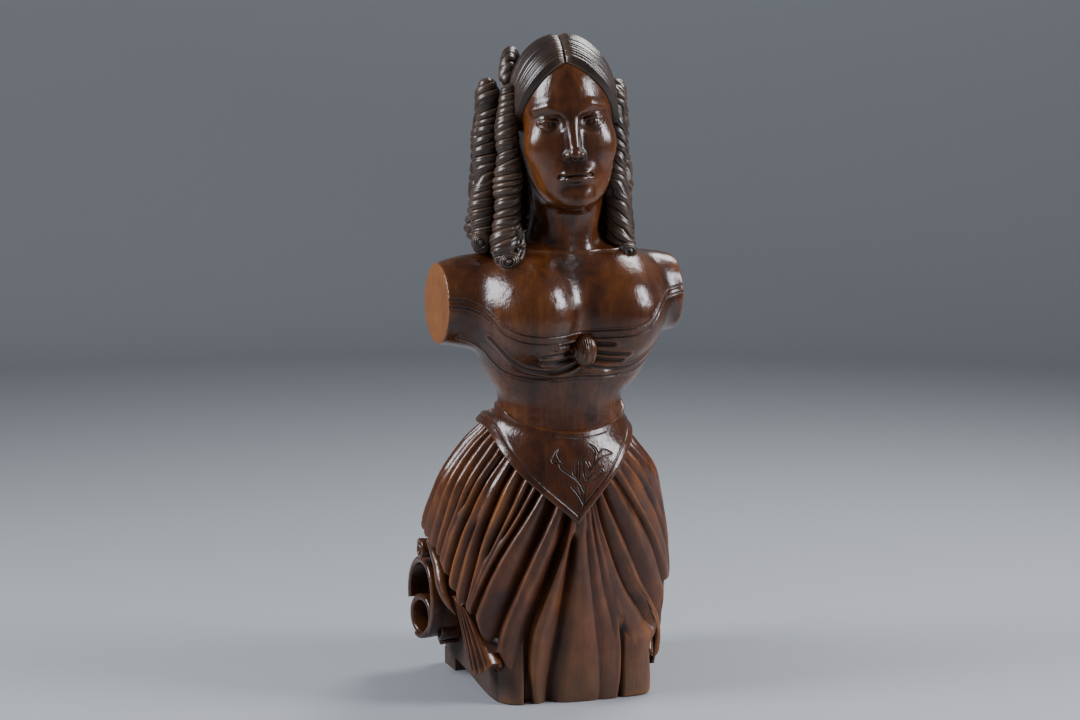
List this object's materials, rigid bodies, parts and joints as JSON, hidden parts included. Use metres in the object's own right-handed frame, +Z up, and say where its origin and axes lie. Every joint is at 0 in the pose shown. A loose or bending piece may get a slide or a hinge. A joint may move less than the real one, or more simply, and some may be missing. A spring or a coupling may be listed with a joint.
{
  "type": "ship figurehead",
  "caption": "Carved wooden ship figurehead of a woman with long ringlets, sawn-off arms, a pointed basque and a pleated skirt with hip scrolls.",
  "frame": {"origin": "on the floor, under the middle of the figure's width and depth", "axes": "+Z up, the figure faces -Y, her right hand side is -X"},
  "size_m": [0.3447, 0.3274, 0.872],
  "materials": {
    "varnished_wood": "dark brown varnish over carved hardwood, glossy, worn on the edges",
    "old_bare_wood": "bare, grey-brown and dusty"
  },
  "bodies": {
    "root": {"figurehead": "varnished_wood", "rear_foot_block": "old_bare_wood"}
  },
  "joints": []
}
